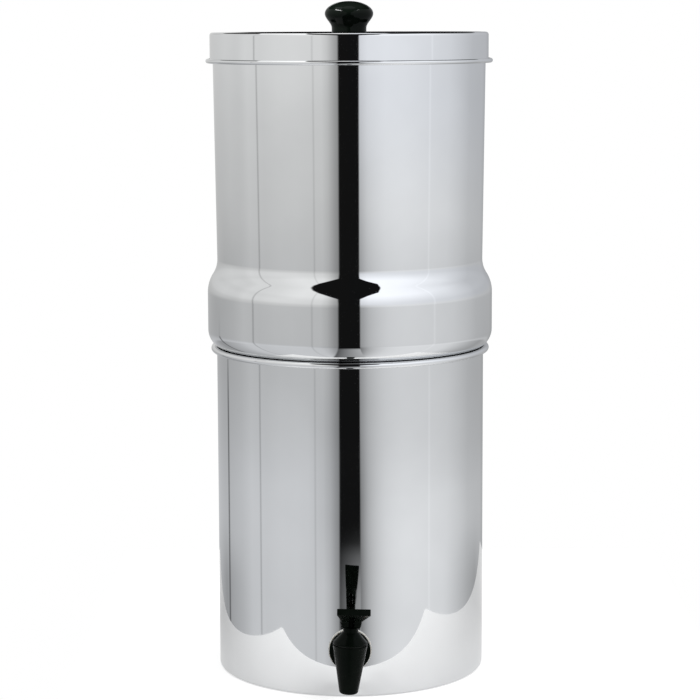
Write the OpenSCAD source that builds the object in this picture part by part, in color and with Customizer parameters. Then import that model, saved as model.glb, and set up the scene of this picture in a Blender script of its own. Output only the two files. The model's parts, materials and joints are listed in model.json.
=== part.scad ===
// Gravity water filter: two polished steel chambers, a lid with a knob, ceramic candles
// and a lever tap. Millimetres, +Z up, origin at the middle of the base, tap towards -Y.

/* [Lower chamber] */
// Outer diameter of the lower chamber
chamber_d = 216; // [200:1:240]
// Height of the lower chamber to the top of its rolled rim
lower_h = 264.3; // [220:0.1:320]
// Thickness of the steel sheet
sheet = 1; // [0.8:0.1:1.2]
// Bend radius between the lower wall and the base
base_bend = 2.5; // [2:0.1:4]
// Radius of the panel pressed up in the base
dish_r = 88; // [60:1:95]
// How far that panel is pressed up
dish_h = 2.5; // [1:0.1:4]
// Section radius of the lower chamber's rolled rim
rim_r = 2.4; // [2:0.1:3]

/* [Upper chamber] */
// Height of the upper chamber, from its floor to the top of its rim
upper_h = 252.7; // [230:0.1:300]
// Bend radius under the upper chamber, the part that sits in the lower rim
seat_bend = 16; // [14:0.5:18]
// How far the bulge stands out past the lower rim
bulge_proud = 2.4; // [1:0.1:4]
// Height at which the bulge starts to turn in, above the upper floor
bulge_h = 46.1; // [35:0.1:60]
// How far the wall steps in above the bulge
shoulder_step = 7.9; // [5:0.1:11]
// Radius of the rounded top of the bulge
shoulder_r = 26.5; // [15:0.5:35]
// Radius of the hollow between shoulder and wall
hollow_r = 22.6; // [15:0.2:30]
// How much the wall radius grows from the shoulder to the rim
wall_flare = 2.3; // [0.5:0.1:4]
// Section radius of the upper chamber's rolled rim
upper_rim_r = 1.4; // [1.2:0.1:2]
// How far that rim stands out from the wall
upper_rim_proud = 0.8; // [0.4:0.1:1.2]

/* [Lid] */
// Height of the lid from its rolled edge to its top
lid_h = 24.3; // [18:0.1:35]
// Edge radius round the lid's top
lid_edge = 2.3; // [1.5:0.1:4]
// Section radius of the lid's rolled edge
lid_bead_r = 1.8; // [1.5:0.1:2.5]
// Largest diameter of the knob
knob_d = 38.8; // [34:0.2:50]
// Diameter of the knob's neck
knob_neck_d = 27.8; // [20:0.2:32]
// Height of the knob's dome above its widest point
knob_dome_h = 9.9; // [6:0.1:16]
// Height over which the knob narrows to its neck
knob_under_h = 11.5; // [8:0.5:16]
// Height of the straight neck on the lid
knob_neck_h = 3.2; // [2:0.1:6]
// Thread diameter of the knob screw
screw_d = 5; // [4:0.5:6]
// Thread length held in the knob
screw_hold = 12; // [8:1:14]
// Head diameter of the knob screw
screw_head_d = 9.2; // [8:0.2:11]
// Head height of the knob screw
screw_head_h = 3; // [2.5:0.1:4]
// Diameter of the washer under the lid
screw_washer_d = 15; // [13:0.5:20]
// Thickness of that washer
screw_washer_t = 1.2; // [0.8:0.1:2]

/* [Candles] */
// Number of candles
candle_count = 4; // [2:1:4]
// Radius of the circle on which the candles stand
candle_ring_r = 54; // [46:1:62]
// Diameter of the ceramic
candle_d = 48; // [40:1:52]
// Height of the ceramic with its dome
candle_h = 170; // [120:1:180]
// Wall of the ceramic
ceramic_wall = 9; // [6:0.5:11]
// Wall of the plastic cup that holds the ceramic
cup_wall = 1.5; // [1.2:0.1:2.5]
// Depth of that cup's socket
cup_depth = 9; // [6:0.5:14]
// Thickness of the cup's floor
cup_floor = 3; // [2:0.5:5]
// Thread diameter of the candle's stem
stem_d = 10; // [8:0.5:12]
// Length of the stem below the upper floor
stem_out = 30; // [26:1:40]
// Water passage through the stem
stem_bore_d = 5; // [3:0.5:6]
// Thickness of the candle washer
candle_washer_t = 2; // [1.5:0.1:3]
// Diameter of the candle washer
candle_washer_d = 22; // [18:1:30]
// Hub diameter of the wing nut
wing_hub_d = 18; // [16:0.5:22]
// Height of the wing nut's hub
wing_hub_h = 11; // [8:0.5:14]
// Width across both wings
wing_span = 38; // [32:1:44]
// Thickness of a wing
wing_t = 4; // [3:0.5:5]

/* [Tap] */
// Height of the tap's shank above the floor
tap_z = 38; // [34:0.5:60]
// Distance from the chamber wall to the spout's axis
tap_reach = 33; // [28:0.5:40]
// How far the tap leans off plumb about its shank, in degrees
tap_roll = 2; // [-8:0.5:8]
// Shank diameter
shank_d = 15.6; // [14:0.2:18]
// Water passage through the shank
flow_d = 9; // [7:0.5:10]
// Flange diameter
flange_d = 32.2; // [28:0.2:40]
// Flange thickness
flange_t = 3; // [2:0.1:5]
// Thickness of the outer washer in the middle
outer_washer_t = 1.5; // [1:0.1:3]
// How far the outer washer shows round the flange
outer_washer_proud = 0.8; // [0:0.1:1.5]
// Thickness of the inner washer in the middle
inner_washer_t = 2.5; // [2:0.1:4]
// Diameter of the inner washer
inner_washer_d = 25; // [22:0.5:30]
// Width across the flats of the tap nut
nut_af = 24; // [22:0.5:30]
// Height of the tap nut
nut_h = 8; // [6:0.5:12]
// Length of the shank past its nut
shank_tail = 7; // [3:0.5:15]
// Drop from the shank's axis to the spout's end
spout_drop = 25; // [22:0.5:30]
// Outer diameter of the spout's end
spout_tip_d = 14.8; // [14:0.2:17]
// Bore of the spout
spout_bore_d = 10; // [8:0.5:10.5]
// Edge radius of the spout's end
spout_lip = 2; // [1:0.1:2]
// Height of the body's top above the shank's axis
body_rise = 13.4; // [13:0.1:17]
// Outer diameter of the body's top
body_top_d = 26.6; // [25:0.2:30]
// Diameter of the valve chamber
valve_d = 16; // [15:0.2:17]
// Drop from the shank's axis to the valve seat
seat_drop = 7.5; // [6:0.5:10]

/* [Tap valve and lever] */
// Thickness of the gasket under the bonnet
gasket_t = 0.8; // [0.5:0.1:1.5]
// Height of the bonnet above its gasket
bonnet_h = 12.9; // [11:0.1:14]
// Height of the bonnet's outer edge
bonnet_edge = 1.2; // [0.6:0.1:2]
// Diameter of the bonnet's neck
neck_d = 11.6; // [11.2:0.1:14]
// Height of that neck
neck_h = 4; // [2:0.1:5]
// Length of the bonnet's threaded plug
plug_len = 7; // [6:0.5:8]
// Spindle diameter
spindle_d = 6; // [5.4:0.1:6.4]
// Thickness of the spindle's flattened eye
eye_t = 4; // [3.4:0.1:4.4]
// Section diameter of the spindle's O-ring
o_ring_t = 1.8; // [1.4:0.1:2]
// Diameter of the valve cup
cup_d = 14.4; // [13.4:0.1:14.4]
// Thickness of the valve cup's sealing disc
cup_t = 4; // [3.5:0.1:5]
// Height of the valve cup's collar
collar_h = 4; // [3:0.5:5]
// Diameter of the valve cup's collar
collar_d = 10; // [9.6:0.1:10.4]
// Wire diameter of the return spring
wire_d = 0.8; // [0.5:0.1:1]
// Turns of the return spring
spring_turns = 5; // [3:1:7]
// Distance from the lever's pin down to its heel
heel_r = 6; // [5.6:0.1:7]
// Lift of the spindle per radian of lever travel
cam_lift = 4; // [3:0.1:4.4]
// Lever travel in degrees
lever_travel = 40; // [25:1:45]
// Angle of the lever's arm above level at rest
arm_angle = 23; // [20:1:35]
// Length of the arm from its pin to its end
arm_len = 41.5; // [34:0.5:60]
// How far the arm's middle line runs below the pin
arm_sink = 1; // [0:0.1:1.5]
// Width of the lever across its pin
hub_w = 12.4; // [11:0.2:15]
// Width of the finger end
paddle_w = 25.6; // [20:0.2:32]
// Length of the channel under the arm, from the pin
channel_len = 30; // [20:1:32]
// Distance from the pin to where the arm leaves the hub
root_s = 10; // [9.5:0.5:14]
// Thickness of the arm at its root
root_t = 5.4; // [5:0.1:8.6]
// Thickness of the finger end
tip_t = 5; // [3.5:0.1:6]
// Diameter of the lever's pin
pin_d = 3; // [2.5:0.1:3.2]
// Rest position of the lever, turned about the spindle, in degrees
lever_turn = 3; // [-60:1:60]

/* [Clearances] */
// Gap where one lifted piece rests on another
rest_gap = 0.3; // [0.2:0.05:0.4]
// Radial gap between the lid and the rim it covers
lid_play = 0.3; // [0.3:0.1:1]
// Radial gap round bolts, stems and shanks in sheet holes
hole_play = 0.4; // [0.2:0.05:0.6]
// Radial gap of a running fit
run_play = 0.06; // [0.03:0.01:0.09]
// Gap between pieces that are screwed or pressed together
snug = 0.02; // [0.01:0.01:0.05]
// Gap between the lever's heel and the bonnet, and between cup and seat
touch_gap = 0.1; // [0.05:0.01:0.15]
// Gap on each side of the spindle's eye in the lever's slot
slot_play = 0.2; // [0.15:0.05:0.4]

/* [Hidden] */
$fn = 96;
// Steps round a circle where a thin piece lies on the chamber's wall
FINE = 720;
PIECES = ["shell", "core", "cup", "washer", "wing_nut"];

STEEL = [0.80, 0.81, 0.82];
BLACK = [0.07, 0.07, 0.07];
SILICONE = [0.88, 0.87, 0.84];
CERAMIC = [0.93, 0.91, 0.85];
WHITE = [0.92, 0.92, 0.90];

// Lower chamber. A rolled edge closes on the wall with a small bite, so the two are one sheet.
chamber_r = chamber_d / 2;
bite = sheet / 5;
rim_x = chamber_r + rim_r - bite;
rim_z = lower_h - rim_r;

// Upper chamber. Its bend rests on the rounded inner edge of the lower rim.
seat_x = chamber_r - sheet + rim_r;
bulge_r = rim_x + rim_r + bulge_proud;
bend_x = bulge_r - seat_bend;
bend_z = rim_z + sqrt(pow(seat_bend + rim_r + rest_gap, 2) - pow(seat_x - bend_x, 2));
floor_z = bend_z - seat_bend;
bulge_top = floor_z + bulge_h;
shoulder_sum = shoulder_r + hollow_r;
shoulder_h = sqrt(2 * shoulder_sum * shoulder_step - pow(shoulder_step, 2));
wall_z = bulge_top + shoulder_h;
wall_r = bulge_r - shoulder_step;
upper_top = floor_z + upper_h;
top_r = wall_r + wall_flare;
upper_rim_out = top_r + upper_rim_proud;

// Lid
lid_r = upper_rim_out + lid_play + sheet;
lid_top = upper_top + rest_gap + sheet;
lid_bead_z = lid_top - lid_h + lid_bead_r;
screw_hole_r = screw_d / 2 + hole_play;

// Candles
candle_floor = floor_z + sheet;
cup_z = candle_floor + candle_washer_t;
ceramic_z = cup_z + cup_floor;
core_r = candle_d / 2 - ceramic_wall;
stem_hole_r = stem_d / 2 + hole_play;

// Tap, in its own frame: origin where the spout's axis meets the shank's, shank along Y
wall_y = tap_reach;
flange_back = wall_y - outer_washer_t;
nut_y = wall_y + sheet + inner_washer_t;
shank_end = nut_y + nut_h + shank_tail;
valve_r = valve_d / 2;
seat_z = -seat_drop;
bonnet_z = body_rise + gasket_t;
bonnet_top = bonnet_z + bonnet_h;
plug_z = bonnet_z - plug_len;
spindle_r = spindle_d / 2;
o_ring_x = spindle_r + run_play + o_ring_t / 2;
o_ring_z = (plug_z + bonnet_z) / 2;
cup_bottom = seat_z + touch_gap;
cup_top = cup_bottom + cup_t;
pin_z = bonnet_top + touch_gap + heel_r;
stem_travel = cam_lift * lever_travel * PI / 180;
heel_reach = heel_r + stem_travel;
slot_w = eye_t + 2 * slot_play;

// A filled quarter circle in the quadrant that starts at angle a
module quarter(x, y, r, a) {
    translate([x, y]) rotate(a) intersection() {
        circle(r);
        square(r);
    }
}

// An axis-aligned rectangle given by two corners
module span(x0, y0, x1, y1) {
    polygon([[x0, y0], [x1, y0], [x1, y1], [x0, y1]]);
}

// Points along an arc about a centre, from angle a0 to a1
function arc(centre, r, a0, a1) =
    [for (i = [0 : 10]) let (a = a0 + (a1 - a0) * i / 10) centre + r * [cos(a), sin(a)]];

// The section of a sheet's edge rolled outwards: side is 1 at the top of a wall, -1 at its foot
module rolled_edge(wall_outer, r, z, side) {
    inner = wall_outer - sheet;
    centre = wall_outer + r - bite;
    translate([centre, z]) circle(r);
    quarter(inner + r, z, r, side > 0 ? 90 : 180);
    span(inner + r, min(z, z + side * r), centre, max(z, z + side * r));
}

// Everything inside the lower chamber's outer face, drawn in by inset
module lower_fill(inset) {
    corner = chamber_r - base_bend;
    rise = inset * tan(22.5);
    difference() {
        union() {
            span(0, inset, corner, base_bend);
            quarter(corner, base_bend, base_bend - inset, 270);
            span(0, base_bend, chamber_r - inset, rim_z);
        }
        polygon([[0, inset], [dish_r + rise, inset],
                 [dish_r + rise - dish_h, inset + dish_h], [0, inset + dish_h]]);
    }
}

module lower_chamber() {
    color(STEEL) difference() {
        rotate_extrude() {
            difference() {
                lower_fill(0);
                lower_fill(sheet);
            }
            rolled_edge(chamber_r, rim_r, rim_z, 1);
        }
        translate([0, -chamber_r, tap_z]) rotate([90, 0, 0])
            cylinder(r = shank_d / 2 + hole_play, h = 8 * sheet, center = true);
    }
}

// Everything inside the upper chamber's outer face, drawn in by inset: bend, bulge,
// a shoulder of two arcs that touch, and a wall that widens towards the rim
module upper_fill(inset) {
    swing = atan2(shoulder_h, shoulder_sum - shoulder_step);
    rim_foot = upper_top - upper_rim_r;
    span(0, floor_z + inset, bend_x, bend_z);
    quarter(bend_x, bend_z, seat_bend - inset, 270);
    polygon(concat(
        [[0, bend_z], [bulge_r - inset, bend_z]],
        arc([bulge_r - shoulder_r, bulge_top], shoulder_r - inset, 0, swing),
        arc([wall_r + hollow_r, wall_z], hollow_r + inset, 180 + swing, 180),
        [[top_r - inset, rim_foot], [0, rim_foot]]));
}

module upper_chamber() {
    color(STEEL) difference() {
        rotate_extrude() {
            difference() {
                upper_fill(0);
                upper_fill(sheet);
            }
            translate([upper_rim_out - upper_rim_r, upper_top - upper_rim_r]) circle(upper_rim_r);
        }
        for (i = [1 : candle_count]) at_candle(i)
            cylinder(r = stem_hole_r, h = 8 * sheet, center = true);
    }
}

// Everything inside the lid's outer face, drawn in by inset
module lid_fill(inset) {
    corner = lid_r - lid_edge;
    span(0, lid_bead_z, lid_r - inset, lid_top - lid_edge);
    span(0, lid_top - lid_edge, corner, lid_top - inset);
    quarter(corner, lid_top - lid_edge, lid_edge - inset, 0);
}

module lid() {
    color(STEEL) difference() {
        rotate_extrude() {
            difference() {
                lid_fill(0);
                lid_fill(sheet);
            }
            rolled_edge(lid_r, lid_bead_r, lid_bead_z, -1);
        }
        translate([0, 0, lid_top]) cylinder(r = screw_hole_r, h = 8 * sheet, center = true);
    }
}

// Knob section: neck, a cosine sweep out to the widest point, and a quarter ellipse over it
module lid_knob() {
    neck_r = knob_neck_d / 2;
    knob_r = knob_d / 2;
    widest = knob_neck_h + knob_under_h;
    sweep = [for (a = [0 : 15 : 165])
        [neck_r + (knob_r - neck_r) * (1 - cos(a)) / 2, knob_neck_h + knob_under_h * a / 180]];
    dome = [for (a = [0 : 7.5 : 90]) [knob_r * cos(a), widest + knob_dome_h * sin(a)]];
    color(BLACK) translate([0, 0, lid_top]) difference() {
        rotate_extrude() polygon(concat([[0, 0], [neck_r, 0]], sweep, dome));
        translate([0, 0, -1]) cylinder(d = screw_d + 2 * snug, h = screw_hold + 2);
    }
}

module knob_screw() {
    under = lid_top - sheet - screw_washer_t;
    color(STEEL) difference() {
        union() {
            translate([0, 0, under - screw_head_h]) cylinder(d = screw_head_d, h = screw_head_h);
            translate([0, 0, under]) cylinder(d = screw_d, h = lid_top + screw_hold - under);
        }
        translate([0, 0, under - screw_head_h])
            cube([screw_head_d + 1, screw_head_d / 7, screw_head_h], center = true);
    }
}

module knob_washer() {
    color(SILICONE) translate([0, 0, lid_top - sheet - screw_washer_t])
        ring(screw_washer_d / 2, screw_d / 2 + hole_play, screw_washer_t);
}

// A flat ring on z = 0
module ring(outer_r, inner_r, h) {
    difference() {
        cylinder(r = outer_r, h = h);
        translate([0, 0, -1]) cylinder(r = inner_r, h = h + 2);
    }
}

// Place for candle i on the upper floor, on a ring that starts between the axes
module at_candle(i) {
    rotate([0, 0, 360 * (i - 0.5) / candle_count]) translate([candle_ring_r, 0, floor_z]) children();
}

// Ceramic: a thick tube under a round dome, hollow for its core
module candle_shell(i) {
    r = candle_d / 2;
    straight = candle_h - r;
    color(CERAMIC) at_candle(i) translate([0, 0, ceramic_z - floor_z]) rotate_extrude() {
        span(core_r, 0, r, straight);
        difference() {
            quarter(0, straight, r, 0);
            quarter(0, straight, core_r, 0);
        }
    }
}

module candle_core(i) {
    color(BLACK) at_candle(i) translate([0, 0, ceramic_z - floor_z])
        cylinder(r = core_r - snug, h = candle_h - candle_d / 2);
}

// Cup that holds the ceramic, with the threaded stem that hangs through the floor
module candle_cup(i) {
    outer = candle_d / 2 + snug + cup_wall;
    low = -stem_out;
    color(WHITE) at_candle(i) difference() {
        union() {
            translate([0, 0, cup_z - floor_z]) cylinder(r = outer, h = cup_floor + cup_depth);
            translate([0, 0, low]) cylinder(d = stem_d, h = cup_z - floor_z - low + 1);
        }
        translate([0, 0, ceramic_z - floor_z]) cylinder(r = candle_d / 2 + snug, h = cup_depth + 1);
        translate([0, 0, low - 1]) cylinder(d = stem_bore_d, h = ceramic_z - floor_z - low + 2);
    }
}

module candle_washer(i) {
    color(SILICONE) at_candle(i) translate([0, 0, sheet])
        ring(candle_washer_d / 2, stem_d / 2 + run_play, candle_washer_t);
}

// Wing nut that draws the stem down, flat against the underside of the floor
module candle_wing_nut(i) {
    wing_h = wing_hub_h + 3;
    color(WHITE) at_candle(i) difference() {
        union() {
            translate([0, 0, -wing_hub_h]) cylinder(d = wing_hub_d, h = wing_hub_h);
            rotate([90, 0, 0]) linear_extrude(wing_t, center = true)
                for (side = [-1, 1]) wing_outline(side, wing_h);
        }
        translate([0, 0, -wing_h - 1]) cylinder(d = stem_d + 2 * snug, h = wing_h + 2);
    }
}

// One wing: an ear that leans out and away from the floor, with a round end
module wing_outline(side, wing_h) {
    end_r = 5;
    tip = [side * (wing_span / 2 - end_r), end_r - wing_h];
    hull() {
        translate(tip) circle(end_r, $fn = 32);
        translate([side * wing_hub_d / 4, -wing_hub_h / 2]) square([wing_t, wing_hub_h - 3], center = true);
    }
}

// The tap's frame, leaned about its shank
module at_tap() {
    translate([0, -chamber_r - tap_reach, tap_z]) rotate([0, tap_roll, 0]) children();
}

// A straight piece along the shank, from y0 to y1
module along(y0, y1) {
    translate([0, y1, 0]) rotate([90, 0, 0]) linear_extrude(y1 - y0) children();
}

// Spout, valve chamber, flange and threaded shank in one moulding
module tap_body() {
    lip_x = spout_tip_d / 2 - spout_lip;
    lip_z = spout_lip - spout_drop;
    color(BLACK) at_tap() difference() {
        union() {
            rotate_extrude() {
                polygon([[0, -spout_drop], [lip_x, -spout_drop], [lip_x, lip_z], [spout_tip_d / 2, lip_z],
                         [body_top_d / 2, body_rise], [0, body_rise]]);
                quarter(lip_x, lip_z, spout_lip, 270);
            }
            along(0, shank_end) circle(d = shank_d);
            along(flange_back - flange_t, flange_back) circle(d = flange_d);
        }
        translate([0, 0, seat_z]) cylinder(r = valve_r, h = body_rise - seat_z + 1);
        translate([0, 0, -spout_drop - 1]) cylinder(d = spout_bore_d, h = spout_drop + 1);
        along(0, shank_end + 1) circle(d = flow_d);
    }
}

// Cap over the valve: threaded plug, cone, and the flat neck that the lever's heel rides on
module tap_bonnet() {
    cone_z = bonnet_top - neck_h;
    groove = o_ring_t + 2 * snug;
    color(BLACK) at_tap() difference() {
        rotate_extrude() polygon([
            [0, plug_z], [valve_r - snug, plug_z], [valve_r - snug, bonnet_z],
            [body_top_d / 2, bonnet_z], [body_top_d / 2, bonnet_z + bonnet_edge],
            [neck_d / 2, cone_z], [neck_d / 2, bonnet_top], [0, bonnet_top]]);
        translate([0, 0, plug_z - 1]) cylinder(r = spindle_r + run_play, h = bonnet_top - plug_z + 2);
        translate([0, 0, o_ring_z - groove / 2]) cylinder(r = o_ring_x + groove / 2, h = groove);
    }
}

module bonnet_gasket() {
    color(SILICONE) at_tap() translate([0, 0, body_rise])
        ring(body_top_d / 2 - bonnet_edge, valve_r + snug, gasket_t);
}

module spindle_o_ring() {
    color(BLACK) at_tap() translate([0, 0, o_ring_z])
        rotate_extrude() translate([o_ring_x, 0]) circle(d = o_ring_t);
}

// Washer under the flange, hollowed to the chamber's outer wall
module outer_washer() {
    color(SILICONE) difference() {
        translate([0, -chamber_r - tap_reach, tap_z]) along(flange_back, wall_y + 4) difference() {
            circle(d = flange_d + 2 * outer_washer_proud);
            circle(d = shank_d + 2 * run_play);
        }
        cylinder(r = chamber_r + snug, h = 2 * tap_z + flange_d, $fn = FINE);
    }
}

// Washer inside, rounded to the chamber's inner wall
module inner_washer() {
    color(SILICONE) intersection() {
        translate([0, -chamber_r - tap_reach, tap_z]) along(wall_y, nut_y) difference() {
            circle(d = inner_washer_d);
            circle(d = shank_d + 2 * run_play);
        }
        cylinder(r = chamber_r - sheet - snug, h = 2 * tap_z + flange_d, $fn = FINE);
    }
}

module tap_nut() {
    color(BLACK) at_tap() along(nut_y, nut_y + nut_h) difference() {
        circle(d = nut_af / cos(30), $fn = 6);
        circle(d = shank_d + 2 * snug);
    }
}

// Rubber cup that closes the spout, with an undercut that holds the spindle's button
module valve_cup() {
    color(SILICONE) at_tap() rotate_extrude() difference() {
        union() {
            span(0, cup_bottom, cup_d / 2, cup_top);
            span(0, cup_top, collar_d / 2, cup_top + collar_h);
        }
        button_section(run_play);
        span(0, cup_top - 1, spindle_r + run_play, cup_top + collar_h + 1);
    }
}

// Half section of the spindle's button, grown by play
module button_section(play) {
    button_z = cup_bottom + 1.5;
    span(0, button_z - play, spindle_r + 0.9 + play, button_z + 1.4 + play);
    span(0, button_z, spindle_r + play, cup_top);
}

// Spindle: button, round rod through the bonnet, and a flat eye for the lever's pin
module valve_spindle() {
    flat_z = bonnet_top - stem_travel - 0.5;
    color(BLACK) at_tap() rotate([0, 0, lever_turn]) difference() {
        union() {
            rotate_extrude() button_section(0);
            translate([0, 0, cup_top - 1]) cylinder(r = spindle_r, h = flat_z - cup_top + 1);
            intersection() {
                union() {
                    translate([0, 0, cup_top]) cylinder(r = spindle_r, h = pin_z - cup_top);
                    translate([0, 0, pin_z]) rotate([0, 90, 0])
                        cylinder(r = spindle_r, h = 2 * eye_t, center = true);
                }
                cube([eye_t, 2 * spindle_d, 4 * pin_z], center = true);
            }
        }
        translate([0, 0, pin_z]) rotate([0, 90, 0])
            cylinder(d = pin_d + 2 * run_play, h = spindle_d, center = true);
    }
}

// Return spring: a round wire swept along a helix between the cup and the bonnet's plug
module return_spring() {
    steps = 16;
    sides = 6;
    r = wire_d / 2;
    coil_r = (collar_d + cup_d) / 4;
    z0 = cup_top + r + snug;
    rise = plug_z - r - snug - z0;
    count = spring_turns * steps;
    slope = atan2(rise, 2 * PI * coil_r * spring_turns);
    points = [for (i = [0 : count]) let (a = 360 * i / steps) for (j = [0 : sides - 1])
        let (b = 360 * j / sides, out = coil_r + r * cos(b), up = r * sin(b))
        [out * cos(a) + up * sin(slope) * sin(a), out * sin(a) - up * sin(slope) * cos(a),
         z0 + rise * i / count + up * cos(slope)]];
    sides_faces = [for (i = [0 : count - 1], j = [0 : sides - 1])
        let (k = (j + 1) % sides, p = i * sides, q = p + sides) [p + j, q + j, q + k, p + k]];
    ends = [[for (j = [0 : sides - 1]) j], [for (j = [sides - 1 : -1 : 0]) count * sides + j]];
    color(STEEL) at_tap() polyhedron(points, concat(sides_faces, ends));
}

// The lever's frame: origin on its pin, x forward along the drawing, y up
module at_lever() {
    at_tap() rotate([0, 0, lever_turn]) translate([0, 0, pin_z]) rotate([90, 0, -90]) children();
}

// Point on the heel that touches the bonnet when the lever is down by a degrees. The heel is
// an involute: its reach below the pin grows by cam_lift per radian, so the spindle's lift
// is in step with the lever all the way.
function heel_point(a) =
    let (p = heel_r + cam_lift * a * PI / 180)
    [p * sin(a) + cam_lift * cos(a), cam_lift * sin(a) - p * cos(a)];

// Point given along the arm and across it
function arm_point(s, n) =
    [s * cos(arm_angle) - n * sin(arm_angle), s * sin(arm_angle) + n * cos(arm_angle)];

// Side outline: hub round the pin, involute heel with a flat back, arm up to the finger end
module lever_side() {
    hub_r = heel_r - rest_gap;
    heel = [for (a = [0 : 5 : lever_travel + 5]) heel_point(a)];
    circle(hub_r);
    polygon(concat(
        [[-hub_r, 0], [-hub_r + 1, -heel_r]], heel,
        [arm_point(root_s, -arm_sink - root_t / 2), arm_point(arm_len, -arm_sink - tip_t / 2),
         arm_point(arm_len, tip_t / 2 - arm_sink), arm_point(root_s, root_t / 2 - arm_sink),
         [0, hub_r]]));
}

// Outline from above, along the arm: a wedge that widens from behind the pin to the finger end
module lever_plan() {
    back = -2 * heel_r;
    corner = 1;
    spread = (paddle_w - hub_w) / (arm_len - corner);
    half = [[back, (hub_w + spread * back) / 2], [arm_len - corner, paddle_w / 2],
            [arm_len, paddle_w / 2 - corner]];
    polygon(concat(half, [for (i = [len(half) - 1 : -1 : 0]) [half[i][0], -half[i][1]]]));
}

module tap_lever() {
    color(BLACK) at_lever() difference() {
        intersection() {
            linear_extrude(2 * paddle_w, center = true) lever_side();
            rotate([0, 0, arm_angle]) rotate([-90, 0, 0])
                linear_extrude(4 * arm_len, center = true) lever_plan();
        }
        translate([-2 * heel_r, -3 * heel_r, -slot_w / 2])
            cube([2 * heel_r + heel_reach, 3 * heel_r + spindle_r + 1, slot_w]);
        rotate([0, 0, arm_angle]) translate([0, -3 * heel_r, -slot_w / 2])
            cube([channel_len, 3 * heel_r, slot_w]);
        cylinder(d = pin_d + 2 * snug, h = 2 * hub_w, center = true);
    }
}

module lever_pin() {
    color(STEEL) at_lever() cylinder(d = pin_d, h = hub_w - 1, center = true);
}

lower_chamber();
upper_chamber();
lid();
lid_knob();
knob_screw();
knob_washer();
tap_body();
tap_bonnet();
bonnet_gasket();
outer_washer();
inner_washer();
tap_nut();
spindle_o_ring();
return_spring();
valve_cup();
valve_spindle();
tap_lever();
lever_pin();
for (i = [1 : candle_count]) {
    candle_shell(i);
    candle_core(i);
    candle_cup(i);
    candle_washer(i);
    candle_wing_nut(i);
}
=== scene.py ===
"""Looks of a gravity water filter: two polished steel chambers, a lid with a knob, ceramic
candles and a lever tap.

Sizes are millimetres in the frame's axes (+Z up, tap towards -Y) and become metres where a
mesh is made. Each piece is a surface of two parameters, worked out as whole arrays.
"""

import json
import math

import bmesh
import bpy
import numpy as np
from mathutils import Matrix, Vector

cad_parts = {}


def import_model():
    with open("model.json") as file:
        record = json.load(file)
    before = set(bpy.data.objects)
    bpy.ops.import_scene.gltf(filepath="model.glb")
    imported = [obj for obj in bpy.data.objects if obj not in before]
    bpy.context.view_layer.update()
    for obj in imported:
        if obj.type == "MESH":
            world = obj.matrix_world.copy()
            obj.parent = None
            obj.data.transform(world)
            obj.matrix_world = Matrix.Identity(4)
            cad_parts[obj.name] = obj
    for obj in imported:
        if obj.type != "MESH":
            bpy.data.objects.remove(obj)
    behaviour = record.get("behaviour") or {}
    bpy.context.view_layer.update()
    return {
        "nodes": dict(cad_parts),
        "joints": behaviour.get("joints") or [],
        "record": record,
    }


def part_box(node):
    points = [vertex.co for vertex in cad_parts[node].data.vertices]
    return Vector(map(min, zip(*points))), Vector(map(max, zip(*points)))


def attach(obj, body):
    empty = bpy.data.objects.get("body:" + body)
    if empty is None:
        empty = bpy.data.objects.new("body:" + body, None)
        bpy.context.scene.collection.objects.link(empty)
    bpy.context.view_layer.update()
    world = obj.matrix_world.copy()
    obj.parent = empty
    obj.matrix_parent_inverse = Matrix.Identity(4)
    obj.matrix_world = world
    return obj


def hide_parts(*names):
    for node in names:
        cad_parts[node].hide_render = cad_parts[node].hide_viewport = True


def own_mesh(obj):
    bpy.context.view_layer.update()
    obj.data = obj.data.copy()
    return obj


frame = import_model()

MM = 0.001
TURN = 2 * math.pi
ROUND = 288   # steps round a chamber
SMALL = 96    # steps round a small turned piece
CRISP = 32    # degrees: a sharper edge than this isn't shaded smooth


def corners(node):
    """Lowest and highest corner of a node, in millimetres."""
    return np.array(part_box(node)) / MM


# -------- sizes

SHEET = 1.0
lower_high = corners("lower_chamber")[1]
upper_low, upper_high = corners("upper_chamber")
lid_low, lid_high = corners("lid")

RIM_R = 2.4              # section radius of the lower chamber's rolled rim
BITE = 0.2               # how far a rolled edge closes into its wall
RIM_X = lower_high[0] - RIM_R
RIM_Z = lower_high[2] - RIM_R
CHAMBER_R = RIM_X - RIM_R + BITE
BASE_BEND = 2.5
DISH_R = 88.0            # panel pressed up in the base
DISH_H = 2.5

SEAT_BEND = 16.0         # bend under the bulge, which sits in the lower rim
FLOOR_Z = upper_low[2]
BULGE_R = upper_high[0]
BULGE_TOP = FLOOR_Z + 46.1
SHOULDER_STEP = 7.9
SHOULDER_R = 26.5
HOLLOW_R = 22.6
SHOULDER_SUM = SHOULDER_R + HOLLOW_R
SHOULDER_H = math.sqrt(2 * SHOULDER_SUM * SHOULDER_STEP - SHOULDER_STEP ** 2)
WALL_R = BULGE_R - SHOULDER_STEP
WALL_Z = BULGE_TOP + SHOULDER_H
TOP_R = WALL_R + 2.3
CURL_R = 1.4
CURL_X = TOP_R + 0.8 - CURL_R
CURL_Z = upper_high[2] - CURL_R

BEAD_R = 1.8
BEAD_X = lid_high[0] - BEAD_R
BEAD_Z = lid_low[2] + BEAD_R
LID_R = BEAD_X - BEAD_R + BITE
LID_TOP = lid_high[2]
LID_EDGE = 2.3
SCREW_HOLE_R = 2.9

joints = {joint["name"]: joint for joint in frame["joints"]}
TAP_AT, PIN_AT = (Vector(joints[name]["pos_m"]) / MM for name in ("handle_swivel", "handle_tilt"))
TAP_UP, PIN_ALONG = (Vector(joints[name]["axis"]).normalized()
                     for name in ("handle_swivel", "handle_tilt"))


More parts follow.
